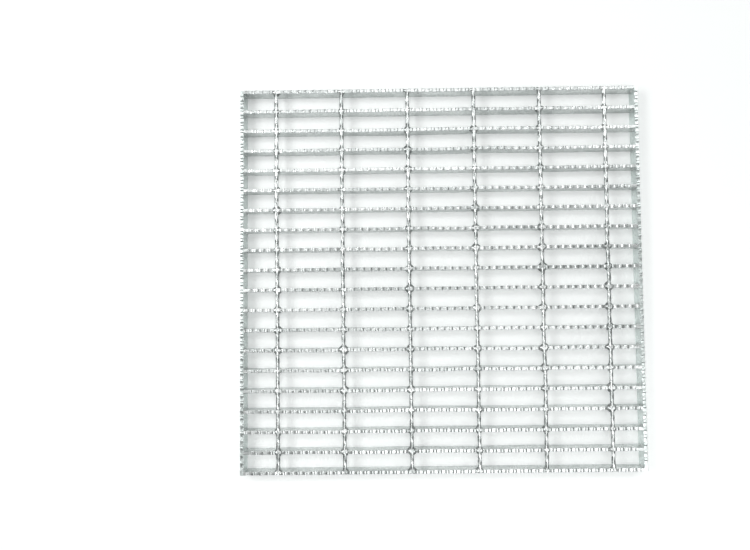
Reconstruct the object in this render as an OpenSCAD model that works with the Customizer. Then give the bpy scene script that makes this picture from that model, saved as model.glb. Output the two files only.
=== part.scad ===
// Serrated steel bar grating: bearing bars on edge, forge-welded cross rods
// and a band bar welded across each end.
// Millimetres, +Z up. X runs along the bearing bars, Y across them, and the
// origin is under the middle of the panel, on the face that it rests on.

/* [Panel] */
// Length over the two end bands
panel_length = 600; // [350:1:1500]
// Height of every bar, which is the height of the panel
bar_height = 25; // [20:1:50]

/* [Bearing bars] */
// Number of bearing bars
bar_count = 20; // [4:1:30]
// Spacing of the bearing bars, middle to middle
bar_pitch = 30; // [20:0.5:60]
// Thickness of a bearing bar
bar_thickness = 5; // [3:0.5:8]

/* [End bands] */
// Thickness of a band bar
band_thickness = 5; // [3:0.5:8]

/* [Serration] */
// Spacing of the notches along the top edge of a bar
notch_pitch = 11; // [9:0.5:16]
// Width of a notch at the top edge
notch_width = 7.5; // [3:0.1:8]
// Depth of a notch
notch_depth = 1.7; // [0.5:0.1:2.5]
// Plain length of top edge that each end of a bar keeps
notch_end_margin = 2; // [1:0.5:6]
// Shift of the notches from one bar to the next, as bars are cut from long stock
notch_stagger = 4.3; // [0:0.1:10]

/* [Cross rods] */
// Spacing of the cross rods, middle to middle
rod_pitch = 99; // [40:1:120]
// Distance from the outside of the left band to the first rod
first_rod = 55; // [20:1:100]
// Least distance from the last rod to the outside of the right band
last_rod_margin = 20; // [15:1:60]
// Width of a rod over its twisted corners
rod_width = 6; // [5:0.5:8]
// Depth of a rod's top below the tops of the bars
rod_drop = 0.4; // [0.1:0.1:2]
// Depth of a rod's cut end below the outer face of the outermost bar
rod_end_inset = 1; // [0.5:0.5:2]

/* [Forged crossings] */
// Length along a bar's side that the forged metal fills beside a rod
swell_fillet = 3; // [1:0.1:4]
// Depth of the forged metal's top below the bottoms of the notches
swell_drop = 0.3; // [0.1:0.1:1]
// How far the forged metal reaches down below the rod
swell_depth = 1; // [0.5:0.5:3]

/* [Hidden] */

panel_width = (bar_count - 1) * bar_pitch + bar_thickness;
bar_length = panel_length - 2 * band_thickness;

// A notch is an arc of a circle through its two edges and its lowest point.
notch_radius = (pow(notch_width / 2, 2) + pow(notch_depth, 2)) / (2 * notch_depth);

// Places of the bearing bars along Y.
bar_y = [for (i = [0 : bar_count - 1]) (i - (bar_count - 1) / 2) * bar_pitch];

// Places of the rods along X.
rod_span = panel_length - first_rod - last_rod_margin;
rod_count = floor(rod_span / rod_pitch) + 1;
rod_x = [for (i = [0 : rod_count - 1]) first_rod + i * rod_pitch - panel_length / 2];

// An eight-sided rod keeps its flats level and plumb.
rod_sides = 8;
rod_corner_radius = rod_width / 2 / cos(180 / rod_sides);
rod_axis_z = bar_height - rod_drop - rod_width / 2;
rod_length = panel_width - 2 * rod_end_inset;

// The forged metal is a diamond in plan, with its corners over the bar and the rod.
swell_radius = (rod_width + bar_thickness) / 2 + swell_fillet;
swell_top = bar_height - notch_depth - swell_drop;
swell_bottom = rod_axis_z - rod_width / 2 - swell_depth;

// Middles of the notches that fit on an edge centred on 0, one of them at shift.
function notch_places(length, shift) =
    let (reach = (length - notch_width) / 2 - notch_end_margin,
         first = ceil((-reach - shift) / notch_pitch),
         last = floor((reach - shift) / notch_pitch))
    [for (k = [first : last]) shift + k * notch_pitch];

// Shift of the notches on bar i.
function notch_shift(i) = (i * notch_stagger) % notch_pitch;

// Side view of a bar with its top edge notched at the given places.
module bar_profile(length, notches) {
    difference() {
        translate([-length / 2, 0])
            square([length, bar_height]);
        for (x = notches)
            translate([x, bar_height - notch_depth + notch_radius])
                circle(r = notch_radius, $fn = 48);
    }
}

// A bar on edge along X, centred on Y = 0 and standing on Z = 0.
module flat_bar(length, thickness, notches) {
    rotate([90, 0, 0])
        linear_extrude(height = thickness, center = true)
            bar_profile(length, notches);
}

module bearing_bars() {
    for (i = [0 : bar_count - 1])
        translate([0, bar_y[i], 0])
            flat_bar(bar_length, bar_thickness, notch_places(bar_length, notch_shift(i)));
}

module cross_rod() {
    rotate([90, 0, 0])
        rotate([0, 0, 180 / rod_sides])
            cylinder(h = rod_length, r = rod_corner_radius, center = true, $fn = rod_sides);
}

// Metal pressed out along one rod where it passes through each bearing bar.
// It stops with the rod, inside the outermost bars.
module forged_crossings() {
    translate([0, 0, swell_bottom])
        linear_extrude(height = swell_top - swell_bottom)
            intersection() {
                square([2 * swell_radius, rod_length], center = true);
                for (y = bar_y)
                    translate([0, y])
                        circle(r = swell_radius, $fn = 4);
            }
}

// The rods are forged into the notched bars and fill the notches that they cross, so the two
// make one solid.
module bar_and_rod_mesh() {
    color("gainsboro") {
        bearing_bars();
        for (x = rod_x)
            translate([x, 0, 0]) {
                translate([0, 0, rod_axis_z])
                    cross_rod();
                forged_crossings();
            }
    }
}

// A band bar welded over the ends of all the bearing bars.
module end_band(side) {
    color("lightgray")
        translate([side * (panel_length - band_thickness) / 2, 0, 0])
            rotate([0, 0, 90])
                flat_bar(panel_width, band_thickness, notch_places(panel_width, 0));
}

module left_end_band() {
    end_band(-1);
}

module right_end_band() {
    end_band(1);
}

bar_and_rod_mesh();
left_end_band();
right_end_band();
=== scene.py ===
import math
import bpy
import numpy as np
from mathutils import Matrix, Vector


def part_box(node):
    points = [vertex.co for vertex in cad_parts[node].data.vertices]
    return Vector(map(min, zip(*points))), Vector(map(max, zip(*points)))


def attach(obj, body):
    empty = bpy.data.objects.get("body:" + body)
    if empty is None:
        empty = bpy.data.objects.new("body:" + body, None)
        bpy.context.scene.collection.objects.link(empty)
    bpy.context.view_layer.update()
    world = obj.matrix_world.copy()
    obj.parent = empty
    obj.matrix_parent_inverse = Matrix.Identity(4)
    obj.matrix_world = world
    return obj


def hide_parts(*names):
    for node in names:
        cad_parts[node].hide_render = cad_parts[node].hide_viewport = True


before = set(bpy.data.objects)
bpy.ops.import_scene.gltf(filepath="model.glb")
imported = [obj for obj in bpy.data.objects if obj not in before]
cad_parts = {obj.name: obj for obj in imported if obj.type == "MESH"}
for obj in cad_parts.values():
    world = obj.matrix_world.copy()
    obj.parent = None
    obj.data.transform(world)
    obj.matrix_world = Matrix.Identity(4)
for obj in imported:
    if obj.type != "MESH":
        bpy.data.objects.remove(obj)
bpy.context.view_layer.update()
mm = 0.001

meshLow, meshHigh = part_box("bar_and_rod_mesh")
leftLow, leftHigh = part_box("left_end_band")
rightLow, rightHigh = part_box("right_end_band")
topHeight = meshHigh.z
panelWidth = meshHigh.y - meshLow.y


# Joins tubes into one mesh. grids[k, i, j] is point j of ring i of tube k. Rings close on themselves,
# quads run from ring to ring, and the first and last ring of each tube get a flat cap.
def skinTubes(name, grids, smoothAngle=40):
    tubes, rings, around = grids.shape[:3]
    corner = np.arange(tubes * rings * around).reshape(tubes, rings, around)
    beside = np.roll(corner, -1, axis=2)
    quads = np.stack([corner[:, :-1], beside[:, :-1], beside[:, 1:], corner[:, 1:]], axis=-1)
    caps = np.concatenate([corner[:, 0, ::-1], corner[:, -1]])
    mesh = bpy.data.meshes.new(name)
    mesh.from_pydata(grids.reshape(-1, 3).tolist(), [], quads.reshape(-1, 4).tolist() + caps.tolist())
    mesh.shade_smooth()
    mesh.set_sharp_from_angle(angle=math.radians(smoothAngle))
    mesh.update()
    piece = bpy.data.objects.new(name, mesh)
    bpy.context.scene.collection.objects.link(piece)
    return piece


# A piece rides on the panel, takes its material and keeps flat faces flat beside rounded edges.
def finishPiece(piece, material, slot, *nodes):
    piece.data.materials.append(material)
    steady = piece.modifiers.new("steadyNormals", "WEIGHTED_NORMAL")
    steady.keep_sharp = True
    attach(piece, "root")
    if nodes:
        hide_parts(*nodes)


# Camera above the panel, a little to the left and to the foot of its middle, leaning towards its head
cameraLook = {
    "place": (-0.034, -0.037, 0.943),
    "lean": (2.62, 0.35, -0.68),
    "lens": 29.6,
    "sensor": 36,
    "shift": -0.053,
    "nearest": 0.01,
}


def makeCamera(look):
    data = bpy.data.cameras.new("camera")
    data.lens = look["lens"]
    data.sensor_width = look["sensor"]
    data.shift_x = look["shift"]
    data.clip_start = look["nearest"]
    camera = bpy.data.objects.new("camera", data)
    camera.location = look["place"]
    camera.rotation_euler = [math.radians(angle) for angle in look["lean"]]
    bpy.context.scene.collection.objects.link(camera)
    bpy.context.scene.camera = camera


makeCamera(cameraLook)
print("camera set")

# Materials

zincLook = {
    "light": (0.69, 0.718, 0.71, 1),
    "dark": (0.47, 0.5, 0.493, 1),
    "spangleSize": 9 * mm,
    "metallic": 0.9,
    "roughness": 0.3,
    "bump": 0.25,
    "bumpDepth": 0.3 * mm,
}
spangleLook = {
    "smallCells": 2.7,  # times as fine as the large cells
    "smallCellShare": 0.4,
    "clouds": 0.35,  # times as fine as the large cells
    "cloudStretch": (0.15, 1, 1),
    "cloudDetail": 4,
    "cloudRange": (0.32, 0.68),
    "cloudShare": 0.5,
    "toneRange": (0.25, 0.75),
    "roughnessRange": (0.85, 1.25),
}


def addNode(tree, kind, **settings):
    node = tree.nodes.new(kind)
    for name, value in settings.items():
        setattr(node, name, value)
    return node


# Spangle of a hot-dip zinc coat: cells of two sizes, each with its own tone, over cloudy blotches that
# are long in X, the way the bars run. Puts out a colour between the two tones, a roughness and a height.
def makeSpangleGroup(look):
    group = bpy.data.node_groups.new("zincSpangle", "ShaderNodeTree")
    sockets = {
        "INPUT": {
            "Vector": "Vector", "Light": "Color", "Dark": "Color", "Scale": "Float", "Roughness": "Float",
        },
        "OUTPUT": {"Color": "Color", "Roughness": "Float", "Height": "Float"},
    }
    for direction, kinds in sockets.items():
        for name, kind in kinds.items():
            group.interface.new_socket(name, in_out=direction, socket_type="NodeSocket" + kind)
    source = addNode(group, "NodeGroupInput")
    sink = addNode(group, "NodeGroupOutput")
    link = group.links.new

    def scaleTimes(factor):
        product = addNode(group, "ShaderNodeMath", operation="MULTIPLY")
        product.inputs[1].default_value = factor
        link(source.outputs["Scale"], product.inputs[0])
        return product.outputs[0]

    def addCells(scale):
        cells = addNode(group, "ShaderNodeTexVoronoi")
        link(source.outputs["Vector"], cells.inputs["Vector"])
        link(scale, cells.inputs["Scale"])
        return cells

    def tonesOf(cells):
        tones = addNode(group, "ShaderNodeSeparateColor")
        link(cells.outputs["Color"], tones.inputs[0])
        return tones.outputs

    # Mix has its factor at 0, its two numbers at 2 and 3 and its two colours at 6 and 7
    def mixTones(share, first, second):
        mixed = addNode(group, "ShaderNodeMix")
        mixed.inputs[0].default_value = share
        link(first, mixed.inputs[2])
        link(second, mixed.inputs[3])
        return mixed.outputs[0]

    # Where side is From, the range between the ends becomes 0 to 1, and where it is To, 0 to 1 becomes it
    def mapTone(tone, side, ends):
        mapped = addNode(group, "ShaderNodeMapRange")
        for limit, end in zip(("Min", "Max"), ends):
            mapped.inputs[f"{side} {limit}"].default_value = end
        link(tone, mapped.inputs["Value"])
        return mapped.outputs[0]

    largeTones = tonesOf(addCells(source.outputs["Scale"]))
    smallCells = addCells(scaleTimes(look["smallCells"]))
    smallTones = tonesOf(smallCells)
    stretch = addNode(group, "ShaderNodeMapping")
    stretch.inputs["Scale"].default_value = look["cloudStretch"]
    link(source.outputs["Vector"], stretch.inputs["Vector"])
    clouds = addNode(group, "ShaderNodeTexNoise")
    clouds.inputs["Detail"].default_value = look["cloudDetail"]
    link(stretch.outputs["Vector"], clouds.inputs["Vector"])
    link(scaleTimes(look["clouds"]), clouds.inputs["Scale"])

    cellTone = mixTones(look["smallCellShare"], largeTones[0], smallTones[0])
    cloudTone = mapTone(clouds.outputs[0], "From", look["cloudRange"])
    tone = mixTones(look["cloudShare"], cellTone, cloudTone)
    colour = addNode(group, "ShaderNodeMix", data_type="RGBA")
    link(mapTone(tone, "From", look["toneRange"]), colour.inputs[0])
    link(source.outputs["Dark"], colour.inputs[6])
    link(source.outputs["Light"], colour.inputs[7])
    link(colour.outputs[2], sink.inputs["Color"])

    roughness = addNode(group, "ShaderNodeMath", operation="MULTIPLY")
    link(source.outputs["Roughness"], roughness.inputs[0])
    link(mapTone(smallTones[1], "To", look["roughnessRange"]), roughness.inputs[1])
    link(roughness.outputs[0], sink.inputs["Roughness"])

    height = addNode(group, "ShaderNodeMath", operation="ADD")
    link(clouds.outputs[0], height.inputs[0])
    link(smallCells.outputs["Distance"], height.inputs[1])
    link(height.outputs[0], sink.inputs["Height"])
    return group


def makeZinc(name, look, group):
    material = bpy.data.materials.new(name)
    material.use_nodes = True
    tree = material.node_tree
    shader = tree.nodes["Principled BSDF"]
    place = addNode(tree, "ShaderNodeTexCoord")
    spangle = addNode(tree, "ShaderNodeGroup", node_tree=group)
    spangle.inputs["Light"].default_value = look["light"]
    spangle.inputs["Dark"].default_value = look["dark"]
    spangle.inputs["Scale"].default_value = 1 / look["spangleSize"]
    spangle.inputs["Roughness"].default_value = look["roughness"]
    shader.inputs["Metallic"].default_value = look["metallic"]
    bump = addNode(tree, "ShaderNodeBump")
    bump.inputs["Strength"].default_value = look["bump"]
    bump.inputs["Distance"].default_value = look["bumpDepth"]
    link = tree.links.new
    link(place.outputs["Object"], spangle.inputs["Vector"])
    link(spangle.outputs["Color"], shader.inputs["Base Color"])
    link(spangle.outputs["Roughness"], shader.inputs["Roughness"])
    link(spangle.outputs["Height"], bump.inputs["Height"])
    link(bump.outputs["Normal"], shader.inputs["Normal"])
    return material


spangleGroup = makeSpangleGroup(spangleLook)
barZinc = makeZinc("barZinc", zincLook, spangleGroup)
rodZinc = makeZinc("rodZinc", {**zincLook, "roughness": 0.26}, spangleGroup)
bandTones = {"light": (0.74, 0.80, 0.785, 1), "dark": (0.58, 0.635, 0.62, 1)}
bandZinc = makeZinc("bandZinc", {**zincLook, **bandTones}, spangleGroup)
weldZinc = makeZinc("weldZinc", {**zincLook, "light": (0.77, 0.79, 0.783, 1)}, spangleGroup)
print("materials made")

# Bearing bars and bands

barLook = {
    "count": 20,
    "thickness": 5 * mm,
    "notchPitch": 11 * mm,
    "notchWidth": 7.5 * mm,
    "notchReach": 3.4 * mm,
    "notchDepth": 1.7 * mm,
    "notchStagger": 4.3 * mm,
    "endMargin": 2 * mm,
    "saddleDepth": 0.7 * mm,
    "saddleReach": 4.6 * mm,
    "wallRings": (0.65, 0.85, 1, 1.15, 1.35),  # shares of a reach at which a wall has its rings
    "edgeRadius": 0.5 * mm,
    "footChamfer": 0.6 * mm,
    "bow": 0.2 * mm,
    "lean": 0.2 * mm,
    "waveTurns": (1.5, 5.5),
    "seed": 11,
}
rodLook = {
    "first": 55 * mm,
    "pitch": 99 * mm,
    "headShift": np.array([-1.2, -1.4, -0.6, 0.6, 0.7, 0]) * mm,
    "footShift": np.array([1.2, 0.6, 0.8, 1.6, 1.5, 0.2]) * mm,
    "side": 5.3 * mm,
    "squareness": 3.6,
    "axisDrop": 3.4 * mm,
    "endInset": 0.2 * mm,
    "quarterTurn": 16 * mm,
    "wander": 0.2 * mm,
    "around": 24,
    "rings": 289,
    "seed": 5,
}
barPitch = (panelWidth - barLook["thickness"]) / (barLook["count"] - 1)
barY = meshLow.y + barLook["thickness"] / 2 + barPitch * np.arange(barLook["count"])


# Where the middles of the rods are at y: evenly spaced, but each rod's head and foot are shifted a little
def rodPlaces(y, look):
    even = leftLow.x + look["first"] + look["pitch"] * np.arange(len(look["headShift"]))
    along = 0.5 - y / panelWidth
    return even + look["headShift"] + along * (look["footShift"] - look["headShift"])


# Middles of the notches that fit on an edge centred on 0, one of them at shift
def notchPlaces(length, shift, look):
    reach = (length - look["notchWidth"]) / 2 - look["endMargin"]
    first = math.ceil((-reach - shift) / look["notchPitch"])
    last = math.floor((reach - shift) / look["notchPitch"])
    return shift + look["notchPitch"] * np.arange(first, last + 1)


# A bell of height 1 over each of the places: exp(-(distance / reach) ^ 4)
def bells(x, places, reach):
    away = np.abs(x[:, None] - places[None, :]).min(axis=1)
    return np.exp(-(away / reach) ** 4)


# Height of a top edge, from which the notches and the shallow saddles of the rods are taken as bells
def topEdge(x, notches, saddles, look):
    cut = look["notchDepth"] * bells(x, notches, look["notchReach"])
    return topHeight - cut - look["saddleDepth"] * bells(x, saddles, look["saddleReach"])


# Places along a bar for the rings of its surface: close together on the walls of its notches and
# saddles, apart elsewhere
def ringPlaces(length, notches, saddles, look):
    wall = np.array(look["wallRings"])
    steps = np.concatenate([-wall, wall])
    onNotches = (notches[:, None] + steps[None, :] * look["notchReach"]).ravel()
    onSaddles = (saddles[:, None] + steps[None, :] * look["saddleReach"]).ravel()
    ends = np.array([-length / 2, length / 2])
    return np.unique(np.concatenate([ends, onNotches, onSaddles[np.abs(onSaddles) < length / 2]]))


# Surface of a bar on edge along X. Its section is a rectangle with rounded upper edges and chamfered
# lower ones, and its top follows topEdge. offset(x) moves a section sideways, and lean(x) moves its
# points by their share of the height.
def barRings(length, notches, saddles, look, offset, lean):
    x = ringPlaces(length, notches, saddles, look)
    top = topEdge(x, notches, saddles, look)[:, None]
    half = look["thickness"] / 2
    edge, foot = look["edgeRadius"], look["footChamfer"]
    nick = 0.3 * edge  # what the rounding takes off at the middle of an upper edge
    side = np.array([half - foot, half, half, half - nick, half - edge])
    y = np.concatenate([side, -side[::-1]])[None, :] + np.zeros_like(top)
    lower = np.array([0, foot]) + np.zeros_like(top)
    upper = top - np.array([edge, nick, 0])
    rise = np.concatenate([lower, upper], axis=1)
    z = np.concatenate([rise, rise[:, ::-1]], axis=1)
    y = y + offset(x)[:, None] + lean(x)[:, None] * z / topHeight
    return np.stack([np.broadcast_to(x[:, None], z.shape), y, z], axis=-1)


# A slow wave that is 0 at both ends of a bar: three sines of random size under a half sine
def slowWave(length, size, random):
    sizes = random.normal(0, size, 3)
    turns = random.uniform(*barLook["waveTurns"], 3)
    starts = random.uniform(0, 2 * np.pi, 3)

    def wave(x):
        along = x / length + 0.5
        sines = np.sin(2 * np.pi * along[:, None] * turns + starts) * sizes
        return sines.sum(axis=1) * np.sin(np.pi * along)
    return wave


def makeBearingBars(look):
    random = np.random.default_rng(look["seed"])
    length = meshHigh.x - meshLow.x
    for number, y in enumerate(barY):
        shift = number * look["notchStagger"] % look["notchPitch"]
        notches = notchPlaces(length, shift, look)
        inner = 0 < number < look["count"] - 1  # the outermost bars stay in the panel's box
        bow = slowWave(length, look["bow"] * inner, random)
        lean = slowWave(length, look["lean"] * inner, random)
        saddles = rodPlaces(y, rodLook)
        rings = barRings(length, notches, saddles, look, bow, lean) + np.array([0, y, 0])
        piece = skinTubes(f"bearing_bar_{number + 1:02d}", rings[None])
        finishPiece(piece, barZinc, "bar_and_rod_zinc", "bar_and_rod_mesh")


# A band is a straight bar without saddles, turned a quarter round to run along Y
def makeBandBars(look):
    notches = notchPlaces(panelWidth, 0, look)
    noSaddles = np.array([2 * panelWidth])  # a place that is well past the ends
    straight = np.zeros_like
    rings = barRings(panelWidth, notches, noSaddles, look, straight, straight)
    turned = np.stack([-rings[..., 1], rings[..., 0], rings[..., 2]], axis=-1)
    for name, node, low, high in (
        ("left_band_bar", "left_end_band", leftLow, leftHigh),
        ("right_band_bar", "right_end_band", rightLow, rightHigh),
    ):
        piece = skinTubes(name, (turned + np.array([(low.x + high.x) / 2, 0, 0]))[None])
        finishPiece(piece, bandZinc, "end_band_zinc", node)


makeBearingBars(barLook)
makeBandBars(barLook)
print("bars made")


# A rod is a rounded square, a superellipse, carried along Y while it turns at a steady rate and wanders
# a little sideways
def makeRods(look):
    random = np.random.default_rng(look["seed"])
    power = look["squareness"]
    angle = np.linspace(0, 2 * np.pi, look["around"], endpoint=False)
    spread = (np.abs(np.cos(angle)) ** power + np.abs(np.sin(angle)) ** power) ** (1 / power)
    reach = look["side"] / 2 / spread
    y = np.linspace(meshLow.y + look["endInset"], meshHigh.y - look["endInset"], look["rings"])
    axisZ = topHeight - look["axisDrop"]
    for number, x in enumerate(rodPlaces(y[:, None], look).T):
        wander = slowWave(panelWidth, look["wander"], random)
        turn = y * np.pi / 2 / look["quarterTurn"] + random.uniform(0, np.pi)
        around = angle[None, :] + turn[:, None]
        rings = np.stack([
            (x + wander(y))[:, None] + reach * np.sin(around),
            np.broadcast_to(y[:, None], around.shape),
            axisZ + reach * np.cos(around),
        ], axis=-1)
        piece = skinTubes(f"twisted_rod_{number + 1}", rings[None])
        finishPiece(piece, rodZinc, "bar_and_rod_zinc", "bar_and_rod_mesh")


makeRods(rodLook)
print("rods made")

crossingLook = {
    "alongBar": 8.2 * mm,
    "alongRod": 7.8 * mm,
    "planPower": 1.05,
    "boxiness": 2.6,
    "top": 0.35 * mm,
    "height": 8 * mm,
    "groove": 0.8 * mm,
    "grooveReach": 1.3 * mm,
    "unevenness": 0.1,
    "endInset": 0.1 * mm,
    "around": 12,
    "ringTilts": (-60, 0, 50, 72, 82, 88),
    "seed": 23,
}


# Metal forged out round a rod: a flattened ball whose plan is a diamond with hardly curved sides
# and whose upright section is a superellipse. A groove, a bell across the rod, is sunk in its top, so
# that the rod shows between two lips. Each one is a little larger, smaller or lopsided.
def makeCrossings(look):
    random = np.random.default_rng(look["seed"])
    angle = np.linspace(0, 2 * np.pi, look["around"], endpoint=False)
    tilt = np.radians(look["ringTilts"])
    power = look["planPower"]
    plan = (np.abs(np.cos(angle)) ** power + np.abs(np.sin(angle)) ** power) ** (-1 / power)
    outward = np.cos(tilt) ** (2 / look["boxiness"])
    upward = np.sign(tilt) * np.abs(np.sin(tilt)) ** (2 / look["boxiness"])
    middleZ = topHeight - look["top"] - look["height"] / 2
    nearest, farthest = meshLow.y + look["endInset"], meshHigh.y - look["endInset"]
    for rodNumber, x in enumerate(rodPlaces(barY[:, None], rodLook).T):
        size = random.normal(1, look["unevenness"], (barLook["count"], 1, 1))
        lobes = random.normal(0, look["unevenness"] / 2, (barLook["count"], 1, 2))
        uneven = size + lobes[..., :1] * np.sin(2 * angle) + lobes[..., 1:] * np.cos(3 * angle)
        across = outward[None, :, None] * plan * uneven
        alongBar = look["alongBar"] * across * np.cos(angle)
        sunk = look["groove"] * np.exp(-(alongBar / look["grooveReach"]) ** 2) * (tilt > 0)[None, :, None]
        grids = np.stack([
            x[:, None, None] + alongBar,
            barY[:, None, None] + look["alongRod"] * across * np.sin(angle),
            (middleZ + look["height"] / 2 * upward)[None, :, None] - sunk,
        ], axis=-1)
        grids[..., 1] = np.clip(grids[..., 1], nearest, farthest)
        piece = skinTubes(f"forged_crossings_{rodNumber + 1}", grids, smoothAngle=60)
        finishPiece(piece, weldZinc, "bar_and_rod_zinc", "bar_and_rod_mesh")


makeCrossings(crossingLook)
print("crossings made")

weldLook = {
    "leg": 1.9 * mm,
    "unevenness": 0.12,
    "root": 0.3,  # share of the leg that is sunk in the steel
    "toe": 1.05,  # share of the leg that lies along the steel
    "flatness": 1.4,
    "foot": 2 * mm,
    "headroom": 3.2 * mm,
    "rings": 19,
    "taper": 0.25,  # share of the bead that tapers at each end
    "endLeg": 0.3,  # share of the leg that is left at the ends
    "ripple": 0.16,
    "rippleLength": 2.4 * mm,
    "seed": 31,
}


# Upright weld beads in the corners between the bars and a band: a somewhat flat quarter-round section,
# the cosine and sine of its angle to a power, is carried upwards. Its leg, how far it reaches along the
# steel, ripples along the bead and shrinks to both ends.
def makeEndWelds(look):
    random = np.random.default_rng(look["seed"])
    z = np.linspace(look["foot"], topHeight - look["headroom"], look["rings"])
    along = (z - z[0]) / (z[-1] - z[0])
    fromEnds = np.stack([along, 1 - along]) / look["taper"]
    taper = np.clip(fromEnds, look["endLeg"], 1).prod(axis=0)
    bend = np.radians([22.5, 45, 67.5])
    face = np.stack([np.cos(bend), np.sin(bend)], axis=-1) ** look["flatness"]
    root, toe = look["root"], look["toe"]
    section = np.concatenate([[(-root, -root), (toe, -root)], face, [(-root, toe)]])
    for name, edgeX, inward in (
        ("left_end_welds", leftHigh.x, 1),
        ("right_end_welds", rightLow.x, -1),
    ):
        beads = []
        for side in (-1, 1):
            inside = barY[1:] if side < 0 else barY[:-1]
            ripples = 1 + look["ripple"] * np.sin(
                2 * np.pi * z[None, :] / look["rippleLength"]
                + random.uniform(0, 2 * np.pi, (len(inside), 1)))
            leg = look["leg"] * random.normal(1, look["unevenness"], (len(inside), 1)) * ripples * taper
            reach = leg[..., None] * section.T[:, None, None, :]
            bead = np.stack([
                edgeX + inward * reach[0],
                inside[:, None, None] + side * (barLook["thickness"] / 2 + reach[1]),
                np.broadcast_to(z[None, :, None], reach[0].shape),
            ], axis=-1)
            beads.append(bead if side * inward > 0 else bead[:, :, ::-1])
        piece = skinTubes(name, np.concatenate(beads), smoothAngle=60)
        finishPiece(piece, weldZinc, "end_band_zinc")


makeEndWelds(weldLook)
print("welds made")

stageLook = {
    "floor": (0.91, 0.936, 0.93, 1),
    "floorReach": 8,
    "glow": 0.19,
    "room": 0.24,
}


# A pale matt floor that glows a little, but only for the camera and in reflections
def makeFloor(look):
    mesh = bpy.data.meshes.new("floor")
    reach = look["floorReach"]
    corners = [(-reach, -reach, 0), (reach, -reach, 0), (reach, reach, 0), (-reach, reach, 0)]
    mesh.from_pydata(corners, [], [(0, 1, 2, 3)])
    floor = bpy.data.objects.new("floor", mesh)
    bpy.context.scene.collection.objects.link(floor)
    material = bpy.data.materials.new("paleFloor")
    material.use_nodes = True
    tree = material.node_tree
    tree.nodes.clear()
    link = tree.links.new
    matt = addNode(tree, "ShaderNodeBsdfDiffuse")
    matt.inputs["Color"].default_value = look["floor"]
    rays = addNode(tree, "ShaderNodeLightPath")
    seen = addNode(tree, "ShaderNodeMath", operation="MAXIMUM")
    link(rays.outputs["Is Camera Ray"], seen.inputs[0])
    link(rays.outputs["Is Glossy Ray"], seen.inputs[1])
    strength = addNode(tree, "ShaderNodeMath", operation="MULTIPLY")
    strength.inputs[1].default_value = look["glow"]
    link(seen.outputs[0], strength.inputs[0])
    glow = addNode(tree, "ShaderNodeEmission")
    link(strength.outputs[0], glow.inputs["Strength"])
    both = addNode(tree, "ShaderNodeAddShader")
    link(matt.outputs[0], both.inputs[0])
    link(glow.outputs[0], both.inputs[1])
    sink = addNode(tree, "ShaderNodeOutputMaterial")
    link(both.outputs[0], sink.inputs["Surface"])
    mesh.materials.append(material)


# A dim grey room, which the camera itself sees as pale grey
def makeRoom(look):
    world = bpy.data.worlds.new("world")
    bpy.context.scene.world = world
    world.use_nodes = True
    tree = world.node_tree
    tree.nodes.clear()
    link = tree.links.new
    dim = addNode(tree, "ShaderNodeBackground")
    dim.inputs["Strength"].default_value = look["room"]
    pale = addNode(tree, "ShaderNodeBackground")
    rays = addNode(tree, "ShaderNodeLightPath")
    pick = addNode(tree, "ShaderNodeMixShader")
    link(rays.outputs["Is Camera Ray"], pick.inputs[0])
    link(dim.outputs[0], pick.inputs[1])
    link(pale.outputs[0], pick.inputs[2])
    sink = addNode(tree, "ShaderNodeOutputWorld")
    link(pick.outputs[0], sink.inputs["Surface"])


# Soft lamps round the camera and above it. Each one shines straight down, and its size is along X and Y.
# A spread below 180 degrees is a grid, which keeps the foot lamp off the sides of the bars at the head.
lampLook = {
    "left": {"place": (-1.35, 0.3, 1.5), "size": (1, 1.1), "radiance": 5.9, "spread": 180},
    "head": {"place": (-0.05, 0.8, 1.5), "size": (0.9, 0.8), "radiance": 2.25, "spread": 180},
    "headRight": {"place": (1.3, 1, 1.5), "size": (1, 1.1), "radiance": 3.5, "spread": 180},
    "foot": {"place": (0.33, -0.85, 1.5), "size": (1.38, 1.1), "radiance": 0.93, "spread": 88},
    "above": {"place": (0.05, -0.1, 1.5), "size": (1.1, 0.5), "radiance": 0.9, "spread": 180},
}


def makeLamps(look):
    for name, lamp in look.items():
        data = bpy.data.lights.new(name, "AREA")
        data.shape = "RECTANGLE"
        data.size, data.size_y = lamp["size"]
        data.spread = math.radians(lamp["spread"])
        data.energy = lamp["radiance"] * math.pi * data.size * data.size_y  # a grid gathers this power
        lampObject = bpy.data.objects.new(name, data)
        lampObject.location = lamp["place"]
        bpy.context.scene.collection.objects.link(lampObject)


makeFloor(stageLook)
makeRoom(stageLook)
makeLamps(lampLook)
bpy.context.scene.view_settings.view_transform = "Standard"
print("stage and lamps set")
